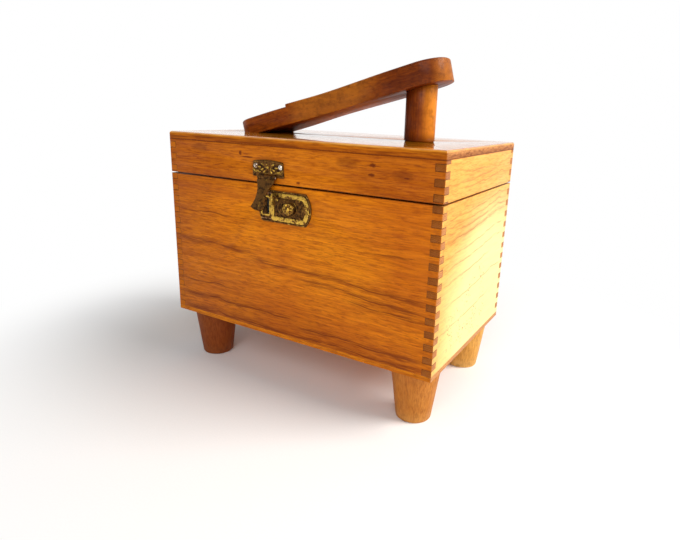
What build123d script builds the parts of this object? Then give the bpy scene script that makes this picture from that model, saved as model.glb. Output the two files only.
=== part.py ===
from build123d import *
from math import cos, radians, sin, sqrt, tan
import os

# Wooden shoe shine box: finger-jointed case on four turned feet, hinged lid with a
# raised footrest, brass slide lock and a staple hasp. Millimetres, +Z up, front is -Y.
# The pieces are drawn about the middle of the case and saved about the middle of the
# whole object's footprint, which the swung-out hasp and the hinge knuckles widen.

# ---- case and lid boards ----
box_length = 330.2
box_width = 203.2
wall = 9.525
case_height = 158.75
lid_height = 36.5
finger = 6.35
saw_loss = 4.85          # height lost where the glued box was sawn into case and lid
corner_ease = 1.2        # rounding of the upright corners
panel_thickness = 4.76
top_thickness = 7.94
top_round = 2.6          # rounding of the top board's upper edges

# ---- turned feet ----
foot_height = 58.7
foot_top_radius = 25.5
foot_bottom_radius = 17.75
foot_round = 2.0
foot_margin_x = 3.5      # from the foot's top to the end of the box
foot_margin_y = 6.0      # and to its front or rear
foot_screw_head = 4.6
foot_screw_shank = 2.3
foot_screw_grip = 24.0   # length of screw inside the foot

# ---- footrest: a sole-shaped board, its heel on the lid and its toe on a post ----
rest_slope = 15.3
rest_thickness = 22.2
rest_rise = 26.3         # underside above the lid top over the box centre
heel_end = -134.0        # along the board from the box centre
toe_end = 129.0
heel_half = 32.5
waist_half = 23.3
sole_half = 26.8
heel_radius = 25.0
toe_radius = 25.8
heel_flank = 22.0        # straight side of the heel
waist_at = -18.0
sole_flank = 23.2        # straight side of the sole, up to the toe's curve
heel_step_at = -55.5
heel_step = 3.0
rest_edge_round = 2.2
post_x = 93.0
post_radius = 15.8
post_base_ease = 0.8
tenon_radius = 7.9
tenon_length = 12.0
rest_screw_head = 4.4
rest_screw_shank = 2.2
heel_screw_setback = 9.9 # behind the front of the heel's seat on the lid
heel_screw_y = 13.0
heel_screw_grip = 9.5
post_screw_grip = 30.0

# ---- butt hinges in the rear seam ----
hinge_length = 38.0
hinge_from_end = 62.0    # hinge middle from each end of the box
leaf_thickness = 0.7
leaf_gap = 0.2           # between the two leaves when the lid is down
leaf_inner_margin = 0.6
knuckle_radius = 2.0
knuckle_offset = 0.3     # between the knuckle and the rear face
hinge_pin_radius = 1.1
hinge_pin_proud = 0.3    # at each end of the knuckles
knuckle_count = 3
knuckle_gap = 0.3
hinge_screw_head = 2.3
hinge_screw_shank = 1.2
hinge_screw_length = 12.0
hinge_screw_pitch = 22.0

# ---- slide lock on the case front ----
lock_x = 1.6             # middle of the oval boss
lock_drop = 21.2         # boss middle below the case's top edge
plate_left = 36.9        # from the boss middle to the rounded left end
plate_right = 28.6
plate_height = 32.4
plate_thickness = 1.0
plate_left_bulge = 3.0
plate_right_bulge = 6.5
plate_corner = 2.5
plate_edge_ease = 0.35
boss_length = 25.0
boss_height = 17.6
boss_rise = 0.8
boss_edge_ease = 0.4
window_corner = 0.6
window_side_gap = 0.4    # above and below the button's stem
window_end_gap = 0.9     # left of the stem when the bolt is home
staple_offset = 24.6     # staple slot left of the boss middle
staple_slot_width = 4.6
staple_slot_height = 14.8
staple_slot_corner = 0.8
slide_travel = 6.0
stem_width = 6.0
stem_height = 7.6
stem_rest = 3.3          # stem middle right of the boss middle when unlocked
stem_ease = 0.8
button_length = 14.4
button_height = 12.6
button_thickness = 3.6
button_round = 0.9
button_offset = 0.4
button_gap = 0.25
knurl_count = 24
knurl_radius = 0.42
bolt_gap = 0.4           # behind the plate
bolt_thickness = 2.0
bolt_height = 6.0
bolt_tip_gap = 1.4       # bolt tip right of the staple slot when unlocked
bolt_tail = 9.0          # bolt right of the stem middle
spigot_radius = 1.5
plate_nail_head = 2.9
plate_nail_shank = 0.9
plate_nail_rise = 0.5
plate_nail_grip = 6.5
plate_nail_left = 32.2   # nails left and right of the boss middle
plate_nail_right = 19.9
lock_case_depth = 6.2
lock_case_sheet = 0.7
lock_case_half_height = 9.2
lock_case_room_left = 2.0    # past the bolt's tip when it is home
lock_case_room_right = 1.0   # past the bolt's tail when it is drawn
guide_width = 3.5
guide_inset = 2.0
guide_past_bolt = 1.0
spring_thickness = 0.4
spring_width = 4.0
spring_length = 16.0

# ---- staple hasp on the lid front ----
hasp_axis_above_seam = 5.9   # pin axis above the lid's lower edge
hasp_sheet = 1.0
hasp_plate_length = 40.5
hasp_plate_height = 17.0     # from the pin axis to the plate's arched top
hasp_plate_waist = 1.1
hasp_plate_arch = 1.8
hasp_knuckle_radius = 2.2
hasp_pin_radius = 1.0
hasp_pin_proud = 0.4         # at each end of the barrel
hasp_barrel = 22.0
hasp_middle_knuckle = 11.6
hasp_plate_corner = 1.4
hasp_edge_ease = 0.3
hasp_screw_head = 2.7
hasp_screw_rise = 1.3
hasp_screw_shank = 1.25
hasp_screw_grip = 7.0
hasp_screw_pitch = 31.6
hasp_screw_above_axis = 10.6
tongue_thickness = 1.4
tongue_root_half = 11.0
tongue_neck_half = 6.4
tongue_end_half = 8.4
tongue_root_drop = 5.0       # bottom of the straight root, below the pin axis
tongue_neck_drop = 14.7
tongue_end_bulge = 3.0
tongue_past_staple = 6.2
tongue_rest_angle = 28.0     # the tongue hangs unhooked, swung out by this much
staple_thickness = 2.0
staple_leg = 1.5
staple_reach = 6.0           # from the tongue's back to the staple's tip
staple_eye_height = 8.0
staple_bar = 1.3
staple_eye_depth = 3.0
staple_lead = 1.2            # bevel at the staple's tip

# ---- screws and nails, in shares of the shank's radius ----
point_share = 2.0
point_tip_share = 0.3
flat_slot_share = 0.36
dome_slot_share = 0.5

# ---- shared clearances ----
glue_line = 0.05         # around screws, tenons and let-in pieces
running_gap = 0.3        # between moving pieces
pin_gap = 0.05           # round a hinge pin
overshoot = 1.0          # how far a cutting shape starts outside what it cuts
weld = 0.5               # how far the parts of one solid run into each other
far = 500.0              # beyond the whole box
hairline = 1e-4          # smaller than any real size

# ---- levels and faces worked out from the sizes above ----
seam_gap = 2 * leaf_thickness + leaf_gap
panel_z = foot_height
case_z = panel_z + panel_thickness
case_top = case_z + case_height
lid_z = case_top + seam_gap
lid_frame_top = lid_z + lid_height
lid_top = lid_frame_top + top_thickness
seam_z = case_top + seam_gap / 2
front_y = -box_width / 2
rear_y = box_width / 2
hinge_axis_y = rear_y + knuckle_offset + knuckle_radius
lock_z = case_top - lock_drop
plate_front = front_y - plate_thickness
boss_front = plate_front - boss_rise
stem_x = lock_x + stem_rest
window_right = stem_x + stem_width / 2 + running_gap
window_left = stem_x - slide_travel - stem_width / 2 - window_end_gap
hasp_axis_out = hasp_knuckle_radius + running_gap
hasp_axis_y = front_y - hasp_axis_out
hasp_axis_z = lid_z + hasp_axis_above_seam
staple_drop = hasp_axis_z - lock_z
staple_x = lock_x - staple_offset
bolt_front = front_y + bolt_gap
tongue_length = staple_drop + tongue_past_staple
slope = radians(rest_slope)
heel_seat_end = -rest_rise / tan(slope)         # where the underside leaves the lid
heel_screw_x = heel_seat_end - heel_screw_setback
swing = radians(tongue_rest_angle)
front_overhang = hasp_axis_out + tongue_length * sin(swing) + tongue_thickness / 2 * cos(swing)
rear_overhang = knuckle_offset + 2 * knuckle_radius
case_y = (front_overhang - rear_overhang) / 2   # case middle behind the origin
rest_plane = Plane(
    origin=(0, 0, lid_top + rest_rise),
    x_dir=(cos(slope), 0, sin(slope)),
    z_dir=(-sin(slope), 0, cos(slope)),
)
LOW = (Align.CENTER, Align.CENTER, Align.MIN)
HIGH = (Align.CENTER, Align.CENTER, Align.MAX)


def block(x0, x1, y0, y1, z0, z1):
    """A box between two corners."""
    return Pos(x0, y0, z0) * Box(x1 - x0, y1 - y0, z1 - z0, align=(Align.MIN,) * 3)


def along_x(shape):
    """Turn a shape's Z axis onto +X."""
    return Rot(0, 90, 0) * shape


def toward_front(shape):
    """Turn a shape's Z axis onto -Y, so that it stands out of the front."""
    return Rot(90, 0, 0) * shape


def save(node, *solids):
    """Write one node, set back so that the origin is under the footprint's middle."""
    placed = [Pos(0, case_y, 0) * solid for solid in solids]
    whole = placed[0] if len(placed) == 1 else Compound(children=placed)
    export_step(whole, f"parts/{node}.step")


# ---- screws and nails: they point down, with the head's rim at z = 0 ----
def countersunk(head, shank, length):
    point = point_share * shank
    cone = Cone(shank, head, head - shank, align=HIGH)
    body = Pos(0, 0, shank - head) * Cylinder(shank, length - point - head + shank, align=HIGH)
    tip = Pos(0, 0, point - length) * Cone(point_tip_share * shank, shank, point, align=HIGH)
    return cone + body + tip


def countersunk_hole(head, shank, length):
    return countersunk(head + glue_line, shank + glue_line, length + glue_line)


def wood_screw(head, shank, length):
    slot = Box(2 * head + overshoot, flat_slot_share * shank, (head - shank) / 2, align=HIGH)
    return countersunk(head, shank, length) - slot


def dome_head(radius, rise):
    """A low dome standing on z = 0."""
    ball = (radius**2 + rise**2) / (2 * rise)
    return (Pos(0, 0, rise - ball) * Sphere(ball)) & Cylinder(radius, 2 * rise, align=LOW)


def dome_nail(head, shank, rise, length):
    point = point_share * shank
    body = Cylinder(shank, length - point, align=HIGH)
    tip = Pos(0, 0, point - length) * Cone(point_tip_share * shank, shank, point, align=HIGH)
    return dome_head(head, rise) + body + tip


def dome_screw(head, shank, rise, length):
    slot = Pos(0, 0, rise / 2) * Box(2 * head + overshoot, dome_slot_share * shank, rise, align=LOW)
    return dome_nail(head, shank, rise, length) - slot


# ---- the box ----
def envelope(z0, z1):
    """The box's outline with eased upright corners, between two heights."""
    return Pos(0, 0, z0) * extrude(RectangleRounded(box_length, box_width, corner_ease), z1 - z0)


def finger_slots(low, high, datum, parity):
    """Heights of the fingers with the given parity, cut to one frame."""
    slots = []
    first = int((low - datum) / finger) - 1
    last = int((high - datum) / finger) + 1
    for index in range(first, last + 1):
        z0 = max(low, datum + index * finger)
        z1 = min(high, datum + (index + 1) * finger)
        if index % 2 == parity and z1 - z0 > hairline:
            slots.append((z0, z1))
    return slots


def long_board(side, low, high, datum):
    """Front (side -1) or back (side 1) board, without the end boards' fingers."""
    y_outer = side * box_width / 2
    y_inner = side * (box_width / 2 - wall)
    y0, y1 = min(y_outer, y_inner), max(y_outer, y_inner)
    board = block(-box_length / 2, box_length / 2, y0, y1, low, high)
    for z0, z1 in finger_slots(low, high, datum, 0):
        for end in (-1, 1):
            x_outer = end * box_length / 2
            x_inner = end * (box_length / 2 - wall)
            board -= block(min(x_outer, x_inner), max(x_outer, x_inner), y0, y1, z0, z1)
    return board & envelope(low, high)


def end_board(side, low, high, datum):
    """Left (side -1) or right (side 1) board, without the long boards' fingers."""
    x_outer = side * box_length / 2
    x_inner = side * (box_length / 2 - wall)
    x0, x1 = min(x_outer, x_inner), max(x_outer, x_inner)
    board = block(x0, x1, -box_width / 2, box_width / 2, low, high)
    for z0, z1 in finger_slots(low, high, datum, 1):
        for end in (-1, 1):
            y_outer = end * box_width / 2
            y_inner = end * (box_width / 2 - wall)
            board -= block(x0, x1, min(y_outer, y_inner), max(y_outer, y_inner), z0, z1)
    return board & envelope(low, high)


def foot_centres():
    x = box_length / 2 - foot_margin_x - foot_top_radius
    y = box_width / 2 - foot_margin_y - foot_top_radius
    return {
        "front_left": (-x, -y),
        "front_right": (x, -y),
        "rear_left": (-x, y),
        "rear_right": (x, y),
    }


def foot_screw_length():
    return panel_thickness + foot_screw_grip


def foot_screw_hole():
    return Pos(0, 0, case_z) * countersunk_hole(
        foot_screw_head, foot_screw_shank, foot_screw_length()
    )


def foot():
    turned = Cone(foot_bottom_radius, foot_top_radius, foot_height, align=LOW)
    turned = fillet(turned.edges().sort_by(Axis.Z)[0], foot_round)
    return turned - foot_screw_hole()


def make_feet():
    for name, (x, y) in foot_centres().items():
        save(f"foot_{name}", Pos(x, y, 0) * foot())
    screw = wood_screw(foot_screw_head, foot_screw_shank, foot_screw_length())
    save("foot_screws", *[Pos(x, y, case_z) * screw for x, y in foot_centres().values()])


def bottom_panel():
    panel = envelope(panel_z, case_z)
    for x, y in foot_centres().values():
        panel -= Pos(x, y, 0) * foot_screw_hole()
    return panel


# ---- hinges ----
def hinge_centres():
    x = box_length / 2 - hinge_from_end
    return {"left": -x, "right": x}


def hinge_screw_places():
    y = rear_y - wall / 2
    half = hinge_screw_pitch / 2
    return [(x + dx, y) for x in hinge_centres().values() for dx in (-half, half)]


def hinge_leaf(x, upper):
    """One leaf let into the seam; the case leaf carries the outer knuckles."""
    inner_y = rear_y - wall + leaf_inner_margin
    if upper:
        z0, z1 = lid_z - leaf_thickness, lid_z
    else:
        z0, z1 = case_top, case_top + leaf_thickness
    leaf = block(x - hinge_length / 2, x + hinge_length / 2, inner_y, hinge_axis_y, z0, z1)
    axis = Pos(x, hinge_axis_y, seam_z)
    pitch = hinge_length / knuckle_count
    leaf += axis * along_x(Cylinder(knuckle_radius, hinge_length))
    for index in range(knuckle_count):
        mine = index % 2 == (1 if upper else 0)
        if not mine:
            middle = x - hinge_length / 2 + (index + 0.5) * pitch
            gap_radius = knuckle_radius + running_gap
            cut = along_x(Cylinder(gap_radius, pitch + knuckle_gap))
            leaf -= Pos(middle, hinge_axis_y, seam_z) * cut
    return leaf - axis * along_x(Cylinder(hinge_pin_radius + pin_gap, hinge_length + overshoot))


def hinge_screw_hole(x, y, upper):
    """Hole for one hinge screw, in the leaf and the board's edge behind it."""
    hole = countersunk_hole(hinge_screw_head, hinge_screw_shank, hinge_screw_length)
    if upper:
        return Pos(x, y, lid_z - leaf_thickness) * Rot(180, 0, 0) * hole
    return Pos(x, y, case_top + leaf_thickness) * hole


def make_hinges():
    lower_z = case_top + leaf_thickness
    upper_z = lid_z - leaf_thickness
    for name, x in hinge_centres().items():
        lower = hinge_leaf(x, upper=False)
        upper = hinge_leaf(x, upper=True)
        for sx, sy in hinge_screw_places():
            lower -= hinge_screw_hole(sx, sy, upper=False)
            upper -= hinge_screw_hole(sx, sy, upper=True)
        save(f"hinge_{name}_case_leaf", lower)
        save(f"hinge_{name}_lid_leaf", upper)
        pin = along_x(Cylinder(hinge_pin_radius, hinge_length + 2 * hinge_pin_proud))
        save(f"hinge_{name}_pin", Pos(x, hinge_axis_y, seam_z) * pin)
    screw = wood_screw(hinge_screw_head, hinge_screw_shank, hinge_screw_length)
    places = hinge_screw_places()
    save("hinge_case_screws", *[Pos(x, y, lower_z) * screw for x, y in places])
    save("hinge_lid_screws", *[Pos(x, y, upper_z) * Rot(180, 0, 0) * screw for x, y in places])


# ---- lock ----
def lock_plate_outline():
    """Plate seen from the front: straight top and bottom, both ends bulging."""
    half = plate_height / 2
    left = -plate_left
    right = plate_right
    outline = Polyline(
        (left + plate_left_bulge, half), (right - plate_right_bulge, half)
    )
    outline += ThreePointArc(
        (right - plate_right_bulge, half), (right, 0), (right - plate_right_bulge, -half)
    )
    outline += Polyline(
        (right - plate_right_bulge, -half), (left + plate_left_bulge, -half)
    )
    outline += ThreePointArc(
        (left + plate_left_bulge, -half), (left, 0), (left + plate_left_bulge, half)
    )
    face = make_face(outline)
    return fillet(face.vertices(), plate_corner)


def front_sketch(sketch, x, z, y, depth):
    """Extrude a sketch of the front view out of the plane y towards -Y."""
    plane = Plane(origin=(x, y, z), x_dir=(1, 0, 0), z_dir=(0, -1, 0))
    return extrude(plane * sketch, depth)


def nail_places():
    return [(lock_x - plate_nail_left, lock_z), (lock_x + plate_nail_right, lock_z)]


def nail_hole(x, z):
    return Pos(x, front_y, z) * toward_front(
        Cylinder(plate_nail_shank + glue_line, 2 * (plate_nail_grip + glue_line))
    )


def lock_plate():
    plate = front_sketch(lock_plate_outline(), lock_x, lock_z, front_y, plate_thickness)
    rim = plate.faces().sort_by(Axis.Y)[0].edges()
    plate = chamfer(rim, plate_edge_ease)
    oval = Ellipse(boss_length / 2, boss_height / 2)
    boss = front_sketch(oval, lock_x, lock_z, plate_front, boss_rise)
    plate += chamfer(boss.faces().sort_by(Axis.Y)[0].edges(), boss_edge_ease)
    window_height = stem_height + 2 * window_side_gap
    window = RectangleRounded(window_right - window_left, window_height, window_corner)
    window_x = (window_left + window_right) / 2
    slot = RectangleRounded(staple_slot_width, staple_slot_height, staple_slot_corner)
    depth = plate_thickness + boss_rise + 2 * overshoot
    plate -= front_sketch(window, window_x, lock_z, front_y + overshoot, depth)
    plate -= front_sketch(slot, staple_x, lock_z, front_y + overshoot, depth)
    for x, z in nail_places():
        plate -= nail_hole(x, z)
    return plate


def lock_case_span():
    """Left and right inner ends of the lock case, past the bolt's whole travel."""
    left = bolt_tip() - slide_travel - lock_case_room_left
    right = stem_x + bolt_tail + lock_case_room_right
    return left, right


def lock_mortise():
    left, right = lock_case_span()
    out = lock_case_sheet + glue_line
    half = lock_case_half_height + glue_line
    return block(
        left - out, right + out, front_y - overshoot, front_y + lock_case_depth + glue_line,
        lock_z - half, lock_z + half,
    )


def lock_case():
    """Sheet tray behind the plate with lugs that guide the bolt above and below."""
    left, right = lock_case_span()
    sheet = lock_case_sheet
    half = lock_case_half_height
    back = front_y + lock_case_depth
    tray = block(left - sheet, right + sheet, front_y, back, lock_z - half, lock_z + half)
    inner = half - sheet
    tray -= block(left, right, front_y - overshoot, back - sheet, lock_z - inner, lock_z + inner)
    guide = bolt_height / 2 + running_gap
    rear = bolt_front + bolt_thickness + guide_past_bolt
    for x in (bolt_tip() + guide_inset, right - guide_width - guide_inset):
        tray += block(x, x + guide_width, front_y, rear, lock_z + guide, lock_z + inner)
        tray += block(x, x + guide_width, front_y, rear, lock_z - inner, lock_z - guide)
    return tray


def bolt_tip():
    return staple_x + staple_slot_width / 2 + bolt_tip_gap


def lock_bolt():
    bolt = block(
        bolt_tip(), stem_x + bolt_tail, bolt_front, bolt_front + bolt_thickness,
        lock_z - bolt_height / 2, lock_z + bolt_height / 2,
    )
    hole = Pos(stem_x, bolt_front, lock_z) * toward_front(
        Cylinder(spigot_radius + glue_line, 3 * bolt_thickness)
    )
    return bolt - hole


def lock_button():
    """Knurled oval button with its stem and the spigot riveted through the bolt."""
    button_back = boss_front - button_gap
    cap = front_sketch(
        Ellipse(button_length / 2, button_height / 2),
        stem_x + button_offset, lock_z, button_back, button_thickness,
    )
    cap = fillet(cap.faces().sort_by(Axis.Y)[0].edges(), button_round)
    groove = toward_front(Cylinder(knurl_radius, 3 * button_thickness))
    for index in range(knurl_count):
        turn = 360 / knurl_count * index
        x = stem_x + button_offset + button_length / 2 * cos(radians(turn))
        z = lock_z + button_height / 2 * sin(radians(turn))
        cap -= Pos(x, button_back, z) * groove
    stem = block(
        stem_x - stem_width / 2, stem_x + stem_width / 2, button_back - weld, bolt_front,
        lock_z - stem_height / 2, lock_z + stem_height / 2,
    )
    stem = chamfer(stem.edges().filter_by(Axis.Y), stem_ease)
    spigot = Pos(stem_x, bolt_front + bolt_thickness, lock_z) * toward_front(
        Cylinder(spigot_radius, bolt_thickness + weld, align=LOW)
    )
    return cap + stem + spigot


def lock_spring():
    """Bowed strip on the lock case's back that rubs on the bolt and holds it."""
    back = front_y + lock_case_depth - lock_case_sheet
    rise = back - (bolt_front + bolt_thickness) - glue_line
    half = spring_length / 2
    inner_half = half - spring_thickness
    outer = ThreePointArc((-half, 0), (0, rise), (half, 0)) + Line((half, 0), (-half, 0))
    inner = ThreePointArc((-inner_half, 0), (0, rise - spring_thickness), (inner_half, 0))
    inner += Line((inner_half, 0), (-inner_half, 0))
    strip = make_face(outer) - make_face(inner)
    plane = Plane(
        origin=((bolt_tip() + stem_x) / 2, back, lock_z + spring_width / 2),
        x_dir=(1, 0, 0),
        z_dir=(0, 0, -1),
    )
    return extrude(plane * strip, spring_width)


def lock_plate_nail():
    return toward_front(
        dome_nail(plate_nail_head, plate_nail_shank, plate_nail_rise, plate_thickness + plate_nail_grip)
    )


def make_lock():
    save("lock_plate", lock_plate())
    save("lock_case", lock_case())
    save("lock_bolt", lock_bolt())
    save("lock_button", lock_button())
    save("lock_spring", lock_spring())
    nails = [Pos(x, plate_front, z) * lock_plate_nail() for x, z in nail_places()]
    save("lock_plate_nails", *nails)


# ---- hasp ----
def hasp_centre():
    return Pos(staple_x, hasp_axis_y, hasp_axis_z)


def hasp_screw_places():
    z = hasp_axis_z + hasp_screw_above_axis
    return [(staple_x - hasp_screw_pitch / 2, z), (staple_x + hasp_screw_pitch / 2, z)]


def hasp_screw_hole(x, z):
    return Pos(x, front_y, z) * toward_front(
        Cylinder(hasp_screw_shank + glue_line, 2 * (hasp_screw_grip + glue_line))
    )


def hasp_plate():
    """Plate with an arched top, and two knuckles curled from its lower edge."""
    half = hasp_plate_length / 2
    shoulder = hasp_plate_height - hasp_plate_arch
    outline = Polyline((-half + hasp_plate_waist, shoulder), (-half, 0), (half, 0))
    outline += Line((half, 0), (half - hasp_plate_waist, shoulder))
    outline += ThreePointArc(
        (half - hasp_plate_waist, shoulder), (0, hasp_plate_height), (-half + hasp_plate_waist, shoulder)
    )
    face = make_face(outline)
    face = fillet(face.vertices(), hasp_plate_corner)
    plate = front_sketch(face, staple_x, hasp_axis_z, front_y, hasp_sheet)
    plate = chamfer(plate.faces().sort_by(Axis.Y)[0].edges(), hasp_edge_ease)
    clear = hasp_knuckle_radius + running_gap
    # the tongue's barrel and its wide root swing in front of the middle of the lower edge
    free = tongue_root_half + running_gap
    plate -= block(
        staple_x - free, staple_x + free, front_y - hasp_sheet - overshoot, front_y + overshoot,
        hasp_axis_z - clear, hasp_axis_z + clear,
    )
    outer = (hasp_barrel - hasp_middle_knuckle) / 2 - running_gap
    for side in (-1, 1):
        x = staple_x + side * (hasp_barrel - outer) / 2
        knuckle = along_x(Cylinder(hasp_knuckle_radius, outer))
        web = block(
            -outer / 2, outer / 2, hasp_axis_out - hasp_sheet, hasp_axis_out, 0, clear + weld
        )
        plate += Pos(x, hasp_axis_y, hasp_axis_z) * (knuckle + web)
    plate -= hasp_centre() * along_x(Cylinder(hasp_pin_radius + pin_gap, hasp_barrel + overshoot))
    for x, z in hasp_screw_places():
        plate -= hasp_screw_hole(x, z)
    return plate


def swung_out(shape):
    """Place a part of the tongue, drawn hanging down from the pin, at its rest angle."""
    return hasp_centre() * Rot(-tongue_rest_angle, 0, 0) * shape


def hasp_tongue():
    """Hourglass tongue hanging from its barrel, drawn about the pin axis."""
    length = tongue_length
    start = hasp_knuckle_radius + running_gap
    corner = tongue_end_bulge - length
    right = Spline(
        (tongue_root_half, -tongue_root_drop),
        (tongue_neck_half, -tongue_neck_drop),
        (tongue_end_half, corner),
    )
    left = Spline(
        (-tongue_end_half, corner),
        (-tongue_neck_half, -tongue_neck_drop),
        (-tongue_root_half, -tongue_root_drop),
    )
    tip = ThreePointArc((tongue_end_half, corner), (0, -length), (-tongue_end_half, corner))
    root = Polyline(
        (-tongue_root_half, -tongue_root_drop), (-tongue_root_half, -start),
        (tongue_root_half, -start), (tongue_root_half, -tongue_root_drop),
    )
    plane = Plane(origin=(0, tongue_thickness / 2, 0), x_dir=(1, 0, 0), z_dir=(0, -1, 0))
    tongue = extrude(plane * make_face(right + tip + left + root), tongue_thickness)
    barrel = hasp_middle_knuckle / 2
    tongue += block(-barrel, barrel, -tongue_thickness / 2, tongue_thickness / 2, -start - weld, 0)
    tongue += along_x(Cylinder(hasp_knuckle_radius, 2 * barrel))
    tongue -= along_x(Cylinder(hasp_pin_radius + pin_gap, 2 * barrel + overshoot))
    return tongue


def hasp_staple():
    """Flat ring that stands off the tongue's back and takes the bolt."""
    back = tongue_thickness / 2
    half = staple_eye_height / 2
    outer = half + staple_leg
    x = staple_thickness / 2
    ring = block(-x, x, back, back + staple_reach, -staple_drop - outer, -staple_drop + outer)
    tip_edges = ring.edges().filter_by(Axis.X).sort_by(Axis.Y)[-2:]
    ring = chamfer(tip_edges, staple_lead)
    x += overshoot
    eye_back = back + staple_reach - staple_bar
    eye_front = eye_back - staple_eye_depth
    return ring - block(-x, x, eye_front, eye_back, -staple_drop - half, -staple_drop + half)


def make_hasp():
    save("hasp_plate", hasp_plate())
    save("hasp_pin", hasp_centre() * along_x(Cylinder(hasp_pin_radius, hasp_barrel + 2 * hasp_pin_proud)))
    save("hasp_tongue", swung_out(hasp_tongue()))
    save("hasp_staple", swung_out(hasp_staple()))
    screw = toward_front(
        dome_screw(hasp_screw_head, hasp_screw_shank, hasp_screw_rise, hasp_sheet + hasp_screw_grip)
    )
    places = hasp_screw_places()
    save("hasp_plate_screws", *[Pos(x, front_y - hasp_sheet, z) * screw for x, z in places])


# ---- footrest ----
def underside_z(x):
    """Height of the footrest board's underside above a place on its centre line."""
    return lid_top + rest_rise + x * tan(slope)


def tenon():
    z = underside_z(post_x)
    return Pos(post_x, 0, z - post_radius) * Cylinder(
        tenon_radius, post_radius + tenon_length, align=LOW
    )


def tenon_hole():
    z = underside_z(post_x)
    return Pos(post_x, 0, z - post_radius) * Cylinder(
        tenon_radius + glue_line, post_radius + tenon_length + glue_line, align=LOW
    )


def footrest_outline():
    """Plan of the board: wide round heel, drawn-in waist, round toe."""
    flank = heel_end + heel_radius
    flank_end = flank + heel_flank
    toe_flank = toe_end - toe_radius
    sole_at = toe_flank - sole_flank
    side = [(flank_end, heel_half), (waist_at, waist_half), (sole_at, sole_half)]
    heel_y = heel_half - heel_radius
    toe_y = sole_half - toe_radius
    turn = sqrt(0.5)
    outline = []
    for hand in (1, -1):
        outline.append(Line((heel_end, 0), (heel_end, hand * heel_y)))
        outline.append(ThreePointArc(
            (heel_end, hand * heel_y),
            (flank - heel_radius * turn, hand * (heel_y + heel_radius * turn)),
            (flank, hand * heel_half),
        ))
        outline.append(Line((flank, hand * heel_half), (flank_end, hand * heel_half)))
        outline.append(Spline(
            [(x, hand * y) for x, y in side], tangents=[(1, 0), (1, 0)]
        ))
        outline.append(Line((sole_at, hand * sole_half), (toe_flank, hand * sole_half)))
        outline.append(ThreePointArc(
            (toe_flank, hand * sole_half),
            (toe_flank + toe_radius * turn, hand * (toe_y + toe_radius * turn)),
            (toe_end, hand * toe_y),
        ))
        outline.append(Line((toe_end, hand * toe_y), (toe_end, 0)))
    return make_face(outline)


def footrest_board():
    board = extrude(rest_plane * footrest_outline(), rest_thickness)
    step = block(-far, heel_step_at, -far, far, rest_thickness - heel_step, far)
    board -= rest_plane.location * step
    up = rest_plane.z_dir
    top_faces = board.faces().filter_by(lambda face: face.normal_at().dot(up) > 1 - hairline)
    rim = []
    for face in top_faces:
        for edge in face.edges():
            middle = rest_plane.to_local_coords(edge @ 0.5)
            if abs(middle.X - heel_step_at) > hairline:
                rim.append(edge)
    board = fillet(rim, rest_edge_round)
    board &= block(-far, far, -far, far, lid_top, lid_top + far)
    board -= tenon_hole()
    for x, y in heel_screw_places():
        board -= rest_screw_hole(x, y, heel_screw_grip)
    return board


def footrest_post():
    height = underside_z(post_x + post_radius) - lid_top + overshoot
    post = Pos(post_x, 0, lid_top) * Cylinder(post_radius, height, align=LOW)
    post = chamfer(post.edges().sort_by(Axis.Z)[0], post_base_ease)
    post -= rest_plane.location * block(-far, far, -far, far, 0, far)
    post += tenon()
    return post - rest_screw_hole(post_x, 0, post_screw_grip)


def heel_screw_places():
    return [(heel_screw_x, -heel_screw_y), (heel_screw_x, heel_screw_y)]


def rest_screw_hole(x, y, grip):
    hole = countersunk_hole(rest_screw_head, rest_screw_shank, top_thickness + grip)
    return Pos(x, y, lid_frame_top) * Rot(180, 0, 0) * hole


def lid_top_board():
    board = envelope(lid_frame_top, lid_top)
    board = fillet(board.faces().sort_by(Axis.Z)[-1].edges(), top_round)
    for x, y in heel_screw_places():
        board -= rest_screw_hole(x, y, heel_screw_grip)
    return board - rest_screw_hole(post_x, 0, post_screw_grip)


def make_footrest():
    save("footrest_board", footrest_board())
    save("footrest_post", footrest_post())
    heel = wood_screw(rest_screw_head, rest_screw_shank, top_thickness + heel_screw_grip)
    tall = wood_screw(rest_screw_head, rest_screw_shank, top_thickness + post_screw_grip)
    up = Rot(180, 0, 0)
    save("footrest_heel_screws", *[Pos(x, y, lid_frame_top) * up * heel for x, y in heel_screw_places()])
    save("footrest_post_screw", Pos(post_x, 0, lid_frame_top) * up * tall)


# ---- boards with their holes ----
def make_case():
    front = long_board(-1, case_z, case_top, case_z) - lock_mortise()
    for x, z in nail_places():
        front -= nail_hole(x, z)
    back = long_board(1, case_z, case_top, case_z)
    for x, y in hinge_screw_places():
        back -= hinge_screw_hole(x, y, upper=False)
    save("case_front", front)
    save("case_back", back)
    save("case_left", end_board(-1, case_z, case_top, case_z))
    save("case_right", end_board(1, case_z, case_top, case_z))
    save("bottom_panel", bottom_panel())


def make_lid():
    # the lid's fingers carry on the case's count, less what the saw took
    datum = case_z + seam_gap - saw_loss
    front = long_board(-1, lid_z, lid_frame_top, datum)
    for x, z in hasp_screw_places():
        front -= hasp_screw_hole(x, z)
    back = long_board(1, lid_z, lid_frame_top, datum)
    for x, y in hinge_screw_places():
        back -= hinge_screw_hole(x, y, upper=True)
    save("lid_front", front)
    save("lid_back", back)
    save("lid_left", end_board(-1, lid_z, lid_frame_top, datum))
    save("lid_right", end_board(1, lid_z, lid_frame_top, datum))
    save("lid_top_board", lid_top_board())


os.makedirs("parts", exist_ok=True)
make_case()
make_feet()
make_hinges()
make_lock()
make_lid()
make_hasp()
make_footrest()
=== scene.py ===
"""Looks of a varnished wooden shoe shine box with aged brass lock and hasp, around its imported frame."""
from functools import cache
from math import cos, pi, radians, sin

import bpy
from mathutils import Matrix, Vector


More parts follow.
